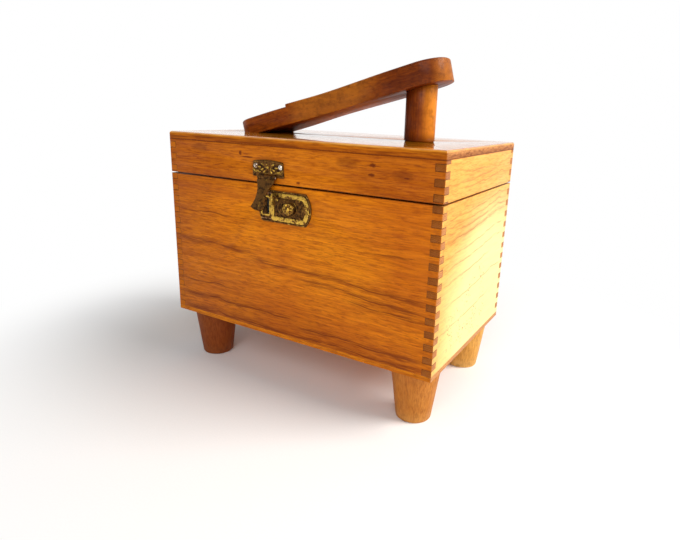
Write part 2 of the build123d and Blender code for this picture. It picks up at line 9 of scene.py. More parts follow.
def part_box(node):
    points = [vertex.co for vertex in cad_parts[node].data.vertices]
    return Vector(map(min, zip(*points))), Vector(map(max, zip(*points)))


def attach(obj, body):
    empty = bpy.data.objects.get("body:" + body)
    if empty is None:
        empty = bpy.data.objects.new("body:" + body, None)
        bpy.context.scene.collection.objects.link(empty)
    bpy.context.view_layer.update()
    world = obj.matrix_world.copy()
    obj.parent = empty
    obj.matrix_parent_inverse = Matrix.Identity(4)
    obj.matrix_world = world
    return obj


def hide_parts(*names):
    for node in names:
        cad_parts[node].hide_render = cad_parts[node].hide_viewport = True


bl_info = {
    "name": "Shoe Shine Box Finish",
    "version": (1, 0, 0),
    "blender": (4, 5, 0),
    "location": "3D View > Sidebar > Shine Box",
    "description": "Varnished wood, aged brass and a plain studio for a wooden shoe shine box",
    "category": "Object",
}

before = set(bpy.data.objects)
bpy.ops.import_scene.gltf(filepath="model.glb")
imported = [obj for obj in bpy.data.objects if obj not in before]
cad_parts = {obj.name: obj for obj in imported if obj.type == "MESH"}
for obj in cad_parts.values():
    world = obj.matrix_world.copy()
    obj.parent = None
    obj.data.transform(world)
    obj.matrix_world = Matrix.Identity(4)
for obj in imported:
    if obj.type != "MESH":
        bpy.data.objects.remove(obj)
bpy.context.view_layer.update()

MM = 0.001

# ---- places read from the frame, in metres ----
CASE_LOW, CASE_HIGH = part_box("case_front")
LID_LOW, LID_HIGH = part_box("lid_front")
REAR_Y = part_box("case_back")[1].y
FRONT_Y = CASE_LOW.y
MIDDLE_Y = (FRONT_Y + REAR_Y) / 2
HALF_LENGTH = CASE_HIGH.x
HALF_WIDTH = (REAR_Y - FRONT_Y) / 2
WALL = CASE_HIGH.y - CASE_LOW.y
TOP_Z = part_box("lid_top_board")[1].z
SEAM_Z = (CASE_HIGH.z + LID_LOW.z) / 2
PLATE_LOW, PLATE_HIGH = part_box("lock_plate")
PIN_LOW, PIN_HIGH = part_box("hasp_pin")
BUTTON_LOW, BUTTON_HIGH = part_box("lock_button")
HASP_PIN = (PIN_LOW + PIN_HIGH) / 2
POST = sum(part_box("footrest_post"), Vector()) / 2
BUTTON_X = (BUTTON_LOW.x + BUTTON_HIGH.x) / 2
LOCK_Z = (PLATE_LOW.z + PLATE_HIGH.z) / 2

# ---- sizes shared with the frame's construction ----
FINGER = 6.35 * MM
LID_FINGER_SHIFT = 3.25 * MM            # the lid's fingers count on from the case's, less the saw cut
REST_SLOPE = radians(15.3)
SHEET_Y = FRONT_Y - 1.0 * MM            # front of the sheets of the lock plate and the hasp plate
BOSS_X = 1.6 * MM                       # middle of the lock plate's boss

# turns that bring each grain direction onto X
GRAIN = {"X": (0, 0, 0), "Y": (0, 0, -pi / 2), "Z": (0, pi / 2, 0), "SLOPE": (0, REST_SLOPE, 0)}

# ---- the photograph's framing ----
LENS_SHIFT = (-0.0368, -0.0219)
SENSOR = 36                             # width in millimetres
BACKDROP = (-0.5, 0.87, 0.0)            # towards the white backdrop that the camera sees


# ---- settings that a user would change ----
COLOUR = {"subtype": "COLOR", "min": 0, "max": 1}


class WoodSettings(bpy.types.PropertyGroup):
    """Colours of the varnished wood."""
    amber_pale: bpy.props.FloatVectorProperty(
        name="Amber, pale", description="Open grain of the long boards",
        default=(0.82, 0.265, 0.005), **COLOUR)
    amber_dark: bpy.props.FloatVectorProperty(
        name="Amber, dark", description="Dense grain of the long boards",
        default=(0.43, 0.108, 0.003), **COLOUR)
    # the end boards' golden colours: partly their own tone, partly painted light, the amber made paler and
    # yellower for the side lamp
    golden_pale: bpy.props.FloatVectorProperty(
        name="Golden, pale", description="Open grain of the end boards",
        default=(0.92, 0.50, 0.120), **COLOUR)
    golden_dark: bpy.props.FloatVectorProperty(
        name="Golden, dark", description="Dense grain of the end boards",
        default=(0.82, 0.37, 0.070), **COLOUR)
    brown_pale: bpy.props.FloatVectorProperty(
        name="Footrest, pale", description="Open grain of the footrest and its post",
        default=(0.46, 0.120, 0.006), **COLOUR)
    brown_dark: bpy.props.FloatVectorProperty(
        name="Footrest, dark", description="Dense grain of the footrest and its post",
        default=(0.20, 0.040, 0.003), **COLOUR)
    foot_pale: bpy.props.FloatVectorProperty(
        name="Feet, pale", description="Open grain of the turned feet",
        default=(0.62, 0.255, 0.045), **COLOUR)
    foot_dark: bpy.props.FloatVectorProperty(
        name="Feet, dark", description="Dense grain of the turned feet",
        default=(0.44, 0.150, 0.020), **COLOUR)
    edge_round: bpy.props.FloatProperty(
        name="Board edge rounding", description="Worn rounding of the boards' sharp edges",
        subtype="DISTANCE", default=0.3 * MM, min=0, max=1 * MM)


class BrassSettings(bpy.types.PropertyGroup):
    """Colours of the lock, hasp and hinges."""
    bright: bpy.props.FloatVectorProperty(
        name="Rubbed brass", description="Raised parts that hands polish",
        default=(0.76, 0.46, 0.075), **COLOUR)
    aged: bpy.props.FloatVectorProperty(
        name="Aged brass", description="Flat parts that have browned",
        default=(0.21, 0.092, 0.022), **COLOUR)
    grime: bpy.props.FloatVectorProperty(
        name="Grime", description="Dirt in the corners and hollows",
        default=(0.028, 0.011, 0.003), **COLOUR)


class StageSettings(bpy.types.PropertyGroup):
    """Camera and light."""
    eye: bpy.props.FloatVectorProperty(
        name="Camera place", description="Where the camera stands",
        subtype="TRANSLATION", default=(0.32397, -0.50044, 0.29769))
    azimuth: bpy.props.FloatProperty(
        name="Azimuth", description="Camera direction round the box",
        subtype="ANGLE", default=radians(29.79))
    elevation: bpy.props.FloatProperty(
        name="Elevation", description="How far the camera looks down",
        subtype="ANGLE", default=radians(15.479))
    roll: bpy.props.FloatProperty(
        name="Roll", description="Tilt of the picture", subtype="ANGLE", default=radians(1.991))
    lens: bpy.props.FloatProperty(
        name="Lens", description="Focal length on a 36 mm sensor",
        subtype="DISTANCE_CAMERA", default=27.734)
    ambient: bpy.props.FloatProperty(
        name="Room light", description="Soft light from all round", default=0.30, min=0, max=1)
    key_power: bpy.props.FloatProperty(
        name="Side light", description="Power of the large light on the right", default=85.0, min=0)
    fill_power: bpy.props.FloatProperty(
        name="Front light", description="Power of the soft light in front", default=30.0, min=0)


# ---- shader building ----
class Shader:
    """Adds and joins the nodes of one material or node group."""

    def __init__(self, tree):
        self.tree = tree

    def node(self, kind, **settings):
        made = self.tree.nodes.new("ShaderNode" + kind)
        for name, value in settings.items():
            setattr(made, name, value)
        return made

    def feed(self, socket, value):
        """Join a socket to another one, or write a number or colour into it."""
        if isinstance(value, bpy.types.NodeSocket):
            self.tree.links.new(value, socket)
        elif value is not None:
            if hasattr(value, "__len__") and len(value) < len(socket.default_value):
                value = (*value, 1.0)
            socket.default_value = value

    def feed_row(self, sockets, values):
        for socket, value in zip(sockets, values):
            self.feed(socket, value)

    def set(self, node, **values):
        """Feed a node's inputs by their names, with _ for a space."""
        for name, value in values.items():
            self.feed(node.inputs[name.replace("_", " ")], value)

    def math(self, operation, *values):
        made = self.node("Math", operation=operation)
        self.feed_row(made.inputs, values)
        return made.outputs[0]

    def times(self, first, *others):
        """The product of two or more numbers."""
        for other in others:
            first = self.math("MULTIPLY", first, other)
        return first

    def most(self, first, *others):
        """The largest of several numbers."""
        for other in others:
            first = self.math("MAXIMUM", first, other)
        return first

    def scaled(self, value, factor, start):
        """A number times a factor, plus a start."""
        return self.math("MULTIPLY_ADD", value, factor, start)

    def minus(self, value, other):
        return self.math("SUBTRACT", value, other)

    def opposite(self, share):
        """What is left of 1."""
        return self.minus(1.0, share)

    def apart(self, value, other):
        """How far apart two numbers are."""
        return self.math("ABSOLUTE", self.minus(value, other))

    def vector(self, operation, *values):
        made = self.node("VectorMath", operation=operation)
        self.feed_row(made.inputs, values)
        return made.outputs["Value" if operation in ("LENGTH", "DOT_PRODUCT") else "Vector"]

    def ramp(self, value, low, high):
        """0 at low, 1 at high, eased between them."""
        made = self.node("MapRange", interpolation_type="SMOOTHSTEP")
        self.feed_row(made.inputs, (value, low, high, 0.0, 1.0))
        return made.outputs[0]

    def mix(self, factor, first, second, blend="MIX"):
        made = self.node("Mix", data_type="RGBA", blend_type=blend)
        self.feed_row((made.inputs[0], made.inputs[6], made.inputs[7]), (factor, first, second))
        return made.outputs[2]

    def choose(self, factor, first, second):
        """A number between two, first at 0 and second at 1."""
        made = self.node("Mix", data_type="FLOAT")
        self.feed_row(made.inputs[:4], (factor, None, first, second))
        return made.outputs[0]

    def noise(self, vector, scale, detail=2.0, roughness=0.5):
        """Cloudy noise. Three scales, one for each axis, stretch it."""
        if isinstance(scale, tuple):
            vector, scale = self.vector("MULTIPLY", vector, scale), 1.0
        made = self.node("TexNoise")
        self.set(made, Vector=vector, Scale=scale, Detail=detail, Roughness=roughness)
        return made.outputs[0]

    def patches(self, vector, scale, detail, low, high, roughness=0.5):
        """Soft-edged patches of noise: 0 where it is under low, 1 where it is over high."""
        return self.ramp(self.noise(vector, scale, detail, roughness), low, high)

    def turned(self, vector, rotation, kind="POINT"):
        made = self.node("Mapping", vector_type=kind)
        self.set(made, Vector=vector, Rotation=rotation)
        return made.outputs[0]

    def parts(self, vector):
        made = self.node("SeparateXYZ")
        self.feed(made.inputs[0], vector)
        return tuple(made.outputs)

    def joined(self, x, y, z):
        made = self.node("CombineXYZ")
        self.feed_row(made.inputs, (x, y, z))
        return made.outputs[0]

    def placed(self, group, **values):
        made = self.node("Group", node_tree=group)
        self.set(made, **values)
        return made.outputs

    def bump(self, surface, height, strength, distance):
        """Give a surface a relief of so many metres."""
        made = self.node("Bump")
        self.set(made, Strength=strength, Distance=distance, Height=height)
        self.feed(surface.inputs["Normal"], made.outputs[0])

    def rays(self):
        """Masks of the rays straight from the camera, and of those with the mirrored and refracted ones."""
        kinds = self.node("LightPath").outputs
        direct = kinds["Is Camera Ray"]
        return direct, self.most(direct, kinds["Is Glossy Ray"], kinds["Is Transmission Ray"])


def node_group(name, vectors, numbers, results):
    """A new node group with the sockets that its words name: its Shader, its inputs and its output node."""
    tree = bpy.data.node_groups.new(name, "ShaderNodeTree")
    for direction, kind, sockets in (
            ("INPUT", "Vector", vectors), ("INPUT", "Float", numbers), ("OUTPUT", "Float", results)):
        for socket in sockets.split():
            tree.interface.new_socket(socket, in_out=direction, socket_type="NodeSocket" + kind)
    return Shader(tree), tree.nodes.new("NodeGroupInput").outputs, tree.nodes.new("NodeGroupOutput")


@cache
def grain_group():
    """Grain that runs along X: bands, fine fibre, pores and broad blotches, each 0 to 1."""
    shader, given, out = node_group("grain", "Vector Shift", "", "Bands Fibre Pores Blotches")
    moved = shader.vector("ADD", given["Vector"], given["Shift"])
    sway = shader.noise(moved, (5, 18, 18))
    x, y, z = shader.parts(moved)
    across = shader.scaled(sway, 0.030, shader.scaled(y, 0.45, z))
    along = shader.joined(shader.times(x, 2.2), 0.0, shader.times(across, 115.0))
    flecks = shader.patches(moved, (95, 1500, 1500), 1.0, 0.60, 0.72)
    gathered = shader.patches(moved, (9, 60, 60), 2.0, 0.42, 0.62)
    shader.set(
        out, Bands=shader.patches(along, 1.0, 3.0, 0.30, 0.72, 0.55),
        Fibre=shader.patches(moved, (22, 620, 620), 4.0, 0.28, 0.74, 0.6),
        Pores=shader.times(flecks, gathered), Blotches=shader.patches(moved, 13.0, 3.0, 0.32, 0.70))
    return shader.tree


@cache
def end_grain_group():
    """Growth rings and pores cut across, on a board's end that crosses X."""
    shader, given, out = node_group("end_grain", "Vector Shift", "", "Rings")
    place = given["Vector"]
    centre = shader.vector("ADD", shader.vector("MULTIPLY", place, (0.2, 1, 1)), given["Shift"])
    radius = shader.scaled(shader.noise(place, 60.0), 4 * MM, shader.vector("LENGTH", centre))
    rings = shader.math("SINE", shader.times(radius, 4200.0))
    pores = shader.noise(place, 1500.0, 3.0)
    shader.set(out, Rings=shader.ramp(shader.scaled(rings, 0.07, pores), 0.30, 0.70))
    return shader.tree


@cache
def smudge_group():
    """A spot with a ragged edge: 1 near Centre, 0 beyond Size from it."""
    shader, given, out = node_group("smudge", "Vector Centre Size", "Ragged", "Mask")
    offset = shader.vector("SUBTRACT", given["Vector"], given["Centre"])
    offset = shader.vector("DIVIDE", offset, given["Size"])
    rough = shader.minus(shader.noise(offset, 2.2, 3.0), 0.5)
    reach = shader.scaled(rough, given["Ragged"], shader.vector("LENGTH", offset))
    shader.set(out, Mask=shader.ramp(reach, 1.0, 0.45))
    return shader.tree


@cache
def streak_group():
    """A bundle of dark hair lines along X near one height: it wanders, thins out and fades at its ends."""
    shader, given, out = node_group("streak", "Vector", "Height Slope Width From To", "Mask")
    x, _, z = shader.parts(given["Vector"])
    height, width, fade = given["Height"], given["Width"], 30 * MM
    wander = shader.noise(shader.joined(shader.times(x, 24.0), 0.0, height), 1.0)
    middle = shader.scaled(shader.minus(wander, 0.5), 12 * MM, shader.scaled(x, given["Slope"], height))
    side = shader.minus(z, middle)
    away = shader.math("ABSOLUTE", side)
    band = shader.ramp(away, shader.times(width, 3.2), shader.times(width, 0.4))
    core = shader.ramp(away, shader.times(width, 0.7), shader.times(width, 0.2))
    hairs = shader.joined(shader.times(x, 26.0), 0.0, shader.times(side, 1500.0))
    hairs = shader.scaled(shader.patches(hairs, 1.0, 2.0, 0.42, 0.56), 0.72, 0.22)
    line = shader.most(shader.times(band, hairs), core)
    whole = shader.patches(given["Vector"], (38, 200, 520), 3.0, 0.30, 0.50)
    start = shader.ramp(x, given["From"], shader.math("ADD", given["From"], fade))
    end = shader.ramp(x, given["To"], shader.minus(given["To"], fade))
    shader.set(out, Mask=shader.times(start, end, shader.times(line, whole)))
    return shader.tree


@cache
def joint_group():
    """Dark glue lines round the fingers at the upright corners and along the boards' long joints."""
    shader, given, out = node_group("joint_lines", "Vector Normal", "Datum", "Line Fingers Tone")
    x, y, z = shader.parts(given["Vector"])
    facing = shader.math("ABSOLUTE", shader.parts(given["Normal"])[0])
    on_end = shader.math("GREATER_THAN", facing, 0.5)
    from_end = shader.minus(HALF_LENGTH, shader.math("ABSOLUTE", x))
    from_side = shader.minus(HALF_WIDTH, shader.apart(y, MIDDLE_Y))
    inset = shader.choose(on_end, from_end, from_side)
    row = shader.math("DIVIDE", shader.minus(z, given["Datum"]), FINGER)
    glue = 0.3 * MM
    uneven = shader.times(shader.noise(given["Vector"], 900.0), glue)
    soft = shader.math("ADD", uneven, glue)
    to_row = shader.times(shader.math("PINGPONG", row, 0.5), FINGER)
    within = shader.math("LESS_THAN", inset, WALL + glue)
    level = shader.times(shader.ramp(to_row, soft, uneven), within)
    odd = shader.math("FLOORED_MODULO", shader.math("FLOOR", shader.math("ADD", row, on_end)), 2.0)
    upright = shader.times(shader.ramp(shader.apart(inset, WALL), soft, uneven), shader.opposite(odd))
    which = shader.joined(shader.times(shader.math("FLOOR", row), 3.7), on_end, shader.ramp(x, -MM, MM))
    tone = shader.patches(which, 1.3, 2.0, 0.30, 0.70)
    shader.set(out, Line=shader.most(level, upright), Fingers=within, Tone=tone)
    return shader.tree


def new_material(name):
    """A material with one Principled surface: its Shader, the surface, and where each point is and faces."""
    material = bpy.data.materials.new(name)
    material.use_nodes = True
    shader = Shader(material.node_tree)
    surface, point = material.node_tree.nodes["Principled BSDF"], shader.node("TexCoord").outputs
    return material, shader, surface, point["Object"], point["Normal"]


# ---- wood ----
# pairs of colours, dense grain first
CUT_DARK = ((0.20, 0.050, 0.005), (0.43, 0.122, 0.010))      # cut ends of the right boards and the footrest
CUT_SOFT = ((0.42, 0.100, 0.004), (0.64, 0.180, 0.007))      # cut ends of the left boards, painted close to the boards' colour as painted shade and reflection
CUT_PALE = ((0.40, 0.150, 0.040), (0.66, 0.300, 0.100))      # cut ends of the other boards and the feet
BARE_WOOD = ((0.40, 0.20, 0.075), (0.62, 0.36, 0.15))        # dusty inner faces
GLUE = (0.07, 0.020, 0.003)
NO_TINT = (1, 1, 1)


def tinted(colour, *shares):
    """A colour with each of its parts multiplied, up to full brightness."""
    return tuple(min(1.0, part * share) for part, share in zip(colour, shares))


def wood(name, pale, dark, grain, seed, inside, marks, datum=None, cut=CUT_PALE,
         varnish=0.10, gloss=0.18, wear=0.5, rubbed=None):
    """Varnished wood with its grain along one axis; inside is the direction that bare inner faces look."""
    material, shader, surface, place, normal = new_material(name)
    polished = varnish > 0.5            # only the top board still shines
    board = shader.turned(place, GRAIN[grain])
    look = shader.placed(grain_group(), Vector=board, Shift=(0.37 * seed, 0.113 * seed, 0.071 * seed))
    density = shader.scaled(look["Fibre"], 0.55, shader.times(look["Bands"], 0.45))
    deep = tinted(dark, 0.42, 0.32, 0.4)
    colour = shader.mix(density, dark, pale)
    colour = shader.mix(shader.times(look["Blotches"], 0.34), colour, tinted(dark, 1.15, 0.9, 0.8))
    speckle = shader.patches(board, (75, 620, 620), 4.0, 0.42, 0.74, 0.7)
    colour = shader.mix(speckle, colour, tinted(dark, 0.8, 0.68, 0.7))
    colour = shader.mix(shader.times(look["Pores"], 0.55), colour, deep)

    # the ends of the boards, where the fibres are cut across
    facing = shader.parts(shader.turned(normal, GRAIN[grain], "NORMAL"))[0]
    on_end = shader.ramp(shader.math("ABSOLUTE", facing), 0.45, 0.75)
    shift = (0, 0.02 + 0.011 * seed, -0.33 - 0.02 * seed)
    rings = shader.placed(end_grain_group(), Vector=board, Shift=shift)["Rings"]
    colour = shader.mix(on_end, colour, shader.mix(rings, *cut))

    stain_and_shade, scuff_and_light, tint = marks(shader, place)
    if datum is not None:
        joints = shader.placed(joint_group(), Vector=place, Normal=normal, Datum=datum)
        colour = shader.mix(shader.times(joints["Tone"], on_end, 0.75), colour, cut[0])
        faded = shader.scaled(shader.patches(place, 120.0, 3.0, 0.30, 0.62), 0.45, 0.42)
        colour = shader.mix(shader.times(joints["Line"], faded), colour, GLUE)
        soiled = shader.patches(place, 260.0, 3.0, 0.42, 0.75)
        colour = shader.mix(shader.times(joints["Fingers"], soiled, 0.30), colour, deep)
        scuff_and_light = shader.times(scuff_and_light, shader.opposite(on_end))
    if polished:
        upward = shader.parts(normal)[2]
        scuff_and_light = shader.times(scuff_and_light, shader.opposite(shader.ramp(upward, 0.6, 0.98)))
    # paler where rubbed and where marks paint light, darker where stained and where marks paint shade
    colour = shader.mix(scuff_and_light, colour, rubbed or tinted(pale, 1.08, 1.5, 2.6))
    colour = shader.mix(stain_and_shade, colour, deep)
    colour = shader.mix(1.0, colour, tint, "MULTIPLY")

    roughness = shader.scaled(look["Fibre"], -0.10, 0.52)
    worn = shader.patches(place, 75.0, 3.0, 0.35, 0.65)
    coat = shader.scaled(worn, -wear * varnish, varnish)
    if polished:
        coat = shader.times(coat, shader.ramp(upward, 0.3, 0.95))
    if inside:
        bare = shader.ramp(shader.vector("DOT_PRODUCT", normal, inside), 0.5, 0.8)
        colour = shader.mix(bare, colour, shader.mix(density, *BARE_WOOD))
        coat = shader.times(coat, shader.opposite(bare))
        roughness = shader.scaled(bare, 0.25, roughness)
    shader.set(surface, Base_Color=colour, Roughness=roughness, Coat_Weight=coat, Coat_Roughness=gloss,
               Coat_IOR=1.65 if polished else 1.45, Specular_IOR_Level=0.08)
    relief = shader.scaled(look["Fibre"], 0.5, shader.times(look["Pores"], -0.8))
    shader.bump(surface, relief, 0.35, 0.12 * MM)
    return material


# ---- marks on the wood: each gives where it is darker, where it is paler, and its tint; besides stains and wear these hold painted light and shade ----
def from_lid_top(down):
    """Height in the frame of a place so many millimetres below the lid's top."""
    return TOP_Z - down * MM


def spot(shader, place, x, y, down, size, ragged):
    """A soft spot x and y millimetres from the frame's middle and so far below the lid's top."""
    return shader.placed(smudge_group(), Vector=place, Centre=(x * MM, y * MM, from_lid_top(down)),
                         Size=tuple(length * MM for length in size), Ragged=ragged)["Mask"]


def streaks(shader, place, lines, strength):
    """Dark lines along X: distance below the lid's top, slope, width, start and end, in millimetres."""
    bundles = [
        shader.placed(streak_group(), Vector=place, Height=from_lid_top(down), Slope=slope,
                      Width=width * MM, From=start * MM, To=end * MM)["Mask"]
        for down, slope, width, start, end in lines
    ]
    return shader.times(shader.most(*bundles), strength)


def painted_shade_line(shader, z, height, reach, core, strength):
    """Painted shade along one height: full within core and gone at reach, both in millimetres."""
    return shader.times(shader.ramp(shader.apart(z, height), reach * MM, core * MM), strength)


def board_marks(shader, place, lines):
    """Mineral lines in a long board, with dirt at its lower edge, and painted shade along the seam and under
    the lid's top.
    """
    z = shader.parts(place)[2]
    low = shader.ramp(z, CASE_LOW.z + 30 * MM, CASE_LOW.z)
    low = shader.times(low, shader.patches(place, 40.0, 4.0, 0.35, 0.65), 0.3)
    # painted shadow under the top board's edge, and painted shade along the seam between case and lid
    ledge_shadow = painted_shade_line(shader, z, LID_HIGH.z, 1.3, 0.2, 0.85)
    seam = painted_shade_line(shader, z, SEAM_Z, 1.9, 0.5, 0.9)
    return shader.most(streaks(shader, place, lines, 0.88), low, ledge_shadow, seam)


def back_marks(shader, place):
    """Mineral lines in the back boards."""
    lines = (
        (118.0, 0.012, 1.4, -168, 60), (126.0, 0.030, 1.1, -90, 168), (176.0, -0.010, 1.6, -168, 120),
        (189.0, 0.010, 1.2, -60, 168), (27.0, 0.0, 0.6, -120, 40), (84.0, 0.0, 0.6, 10, 150),
    )
    return board_marks(shader, place, lines), 0.0, (0.98, 0.92, 0.85)


def front_marks(shader, place):
    """Mineral lines, dents and smears on the front, dirt round its brass, and a lighter middle with darker
    ends and bottom, partly the wood's own tone and partly painted light and shade.
    """
    front = -94.0                       # close to the front face, in millimetres
    lines = (
        (121.0, -0.010, 1.7, -168, -40), (129.0, -0.050, 1.6, -60, 167), (138.0, -0.060, 1.9, 0, 168),
        (147.0, -0.045, 1.3, 60, 168), (96.0, -0.01, 0.6, 85, 160), (86.0, 0.0, 0.5, -165, -60),
        (184.0, 0.01, 1.6, -168, 20), (192.0, -0.01, 1.7, 0, 168), (202.0, 0.0, 1.9, -168, 168),
        (167.0, 0.01, 0.7, -168, -70),
    )
    dents = (
        # right of the middle, below the lid top, half length, half height
        (96.0, 17.5, 4.2, 2.4), (95.0, 26.0, 4.6, 1.9), (-50.0, 20.5, 10.0, 1.2), (-60.0, 17.0, 2.5, 3.0),
        (14.0, 41.0, 3.0, 1.5), (130.0, 26.0, 4.0, 1.2),
    )
    smears = (
        # right of the middle, below the lid top, half sizes: round the lock, round the hasp, then on the lid
        (0, 67, (48, 20, 25)), (HASP_PIN.x / MM, 31, (29, 20, 17)),
        (70, 17, (15, 20, 7)), (126, 24, (14, 20, 6)), (-118, 15, (16, 20, 6)),
    )
    dents = shader.most(*(spot(shader, place, x, FRONT_Y / MM, down, (length, 5, height), 0.9)
                          for x, down, length, height in dents))
    smears = shader.most(*(spot(shader, place, x, front, down, size, 0.7) for x, down, size in smears))
    stain_and_shade = board_marks(shader, place, lines)
    stain_and_shade = shader.most(stain_and_shade, shader.times(dents, 0.95), shader.times(smears, 0.46))

    x, _, z = shader.parts(place)
    # lighter middle, darker left end, lid ends and bottom: partly the wood's own tone, partly painted light
    # and shade
    middle_tone_and_light = spot(shader, place, 40, front, 95, (190, 40, 95), 0.5)
    lid = shader.ramp(z, LID_LOW.z - MM, LID_LOW.z + MM)
    lid_ends = shader.times(lid, shader.ramp(shader.math("ABSOLUTE", x), 30 * MM, 110 * MM))
    tint = shader.mix(middle_tone_and_light, (0.98, 0.90, 0.80), (1.20, 1.22, 1.05))
    for area, strength, shade in (
            (shader.ramp(x, -128 * MM, -168 * MM), 0.6, (0.72, 0.62, 0.5)),
            (shader.ramp(x, 75 * MM, 130 * MM), 1.0, (1.06, 0.98, 0.85)),
            (lid_ends, 0.7, (0.78, 0.64, 0.6)),
            (shader.ramp(z, CASE_LOW.z + 66 * MM, CASE_LOW.z), 0.45, (0.84, 0.70, 0.6))):
        tint = shader.mix(shader.times(area, strength), tint, shade)
    return stain_and_shade, 0.0, tint


def end_marks(shader, place):
    """Growth lines along both ends, painted shade under the lid's top and along the seam; the right end also
    has small dark nicks and a painted highlight low down.
    """
    x, y, z = shader.parts(place)
    lines = (
        (77.0, 0.06, 1.2, -95, 110), (70.0, 0.05, 0.7, -95, 110), (20.0, -0.02, 0.5, -70, 40),
        (27.0, 0.05, 0.45, -90, 60), (33.0, 0.03, 0.4, -95, 100), (57.0, 0.05, 0.45, -95, 110),
        (64.0, 0.05, 0.45, -95, 110), (92.0, 0.05, 0.4, -95, 110), (104.0, 0.04, 0.45, -90, 100),
        (118.0, 0.05, 0.5, -95, 60), (141.0, 0.04, 0.4, -80, 110), (166.0, 0.03, 0.4, -95, 70),
    )
    area = spot(shader, place, HALF_LENGTH / MM, MIDDLE_Y / MM - 12, 170, (20, 88, 62), 1.6)
    gathered = shader.patches(place, 42.0, 2.0, 0.48, 0.58)
    nicks = shader.patches(place, (400, 260, 520), 1.0, 0.61, 0.66)
    nicks = shader.times(nicks, shader.times(area, gathered), 0.85)
    # painted shadow under the top board's edge and painted shade along the seam
    ledge_shadow = painted_shade_line(shader, z, LID_HIGH.z, 0.8, 0.2, 0.6)
    seam = painted_shade_line(shader, z, SEAM_Z, 1.3, 0.5, 0.6)
    stain_and_shade = shader.most(streaks(shader, shader.joined(y, x, z), lines, 0.62), nicks, ledge_shadow, seam)
    # painted highlight of the side light low on the right end, given in the rubbed colour
    pale = spot(shader, place, HALF_LENGTH / MM, 52, 172, (30, 168, 142), 0.2)
    return stain_and_shade, shader.times(pale, 0.76), NO_TINT


def top_marks(shader, place):
    """Dirt on the top board's edge, a painted shadow at its foot, painted shade low on it, a rubbed rounding
    and a painted sheen that makes the top face paler.
    """
    z = shader.parts(place)[2]
    # painted shadow where the top board's edge meets the walls below
    ledge_shadow = shader.times(shader.ramp(z, LID_HIGH.z + 1.1 * MM, LID_HIGH.z), 0.9)
    low = shader.scaled(shader.ramp(z, TOP_Z - 1.5 * MM, TOP_Z - 3.5 * MM), 0.60, 0.10)
    dirt = shader.times(shader.patches(place, (25, 90, 400), 3.0, 0.42, 0.66), low)
    edge = shader.ramp(z, TOP_Z - 2.6 * MM, TOP_Z - 0.8 * MM)
    worn = shader.times(edge, shader.patches(place, 30.0, 4.0, 0.35, 0.65), 0.75)
    # painted shade on the lower, downward part of the edge
    lower = shader.ramp(z, TOP_Z - 3.0 * MM, TOP_Z - 5.5 * MM)
    # painted sheen: the top face and the upper rounding made paler
    top_sheen = shader.ramp(z, TOP_Z - 2.2 * MM, TOP_Z - 0.2 * MM)
    tint = shader.mix(top_sheen, NO_TINT, (1.08, 1.30, 1.7))
    return shader.most(ledge_shadow, dirt), worn, shader.mix(lower, tint, (0.74, 0.62, 0.5))


def rest_marks(shader, place):
    """Polish stains and shoe scuffs on the footrest and its post."""
    stain_and_shade = shader.patches(place, (30, 30, 60), 4.0, 0.52, 0.75)
    scuff_and_light = shader.patches(place, (60, 60, 140), 4.0, 0.60, 0.78)
    return shader.times(stain_and_shade, 0.45), shader.times(scuff_and_light, 0.16)


def sole_marks(shader, place):
    """The footrest's polish stains and scuffs, with painted light on its middle and toe end and painted shade
    between them.
    """
    stain_and_shade, scuff_and_light = rest_marks(shader, place)
    mottle = shader.times(shader.patches(place, (120, 160, 190), 4.0, 0.40, 0.76, 0.65), 0.58)
    x = shader.parts(place)[0]
    # painted light on the middle, painted shade towards the toe and a painted highlight on the toe end
    middle = shader.times(shader.ramp(x, -62 * MM, -34 * MM), shader.ramp(x, 62 * MM, 24 * MM), 0.5)
    toe_highlight = shader.ramp(x, 108 * MM, 124 * MM)
    dark = shader.times(shader.ramp(x, 48 * MM, 76 * MM), shader.opposite(toe_highlight))
    scuff_and_light = shader.most(scuff_and_light, middle, shader.times(toe_highlight, 0.20))
    return shader.most(stain_and_shade, mottle), scuff_and_light, shader.mix(dark, NO_TINT, (0.62, 0.50, 0.45))


def post_marks(shader, place):
    """The post's polish stains, painted light that makes its right side golden, painted shade on its left
    side, and darker towards its foot.
    """
    stain_and_shade, scuff_and_light = rest_marks(shader, place)
    x, _, z = shader.parts(place)
    # painted light on the right side, in the rubbed colour, and painted shade on the left
    painted_light_side = shader.ramp(x, POST.x + 4 * MM, POST.x + 16 * MM)
    shaded = shader.ramp(x, POST.x + 6 * MM, POST.x - 9 * MM)
    foot = shader.times(shader.ramp(z, TOP_Z + 11 * MM, TOP_Z), 0.75)
    patches = shader.times(shader.patches(place, 90.0, 4.0, 0.44, 0.66, 0.65), 0.40)
    return shader.most(stain_and_shade, patches, foot), shader.most(scuff_and_light, painted_light_side), shader.mix(
        shaded, NO_TINT, (0.52, 0.42, 0.42))


def floor_marks(shader, place):
    """Knocks and dirt near the floor."""
    low = shader.ramp(shader.parts(place)[2], 16 * MM, 0.0)
    stain_and_shade = shader.times(shader.patches(place, 170.0, 4.0, 0.48, 0.70), shader.scaled(low, 0.35, 0.15))
    return stain_and_shade, shader.times(low, 0.22), NO_TINT


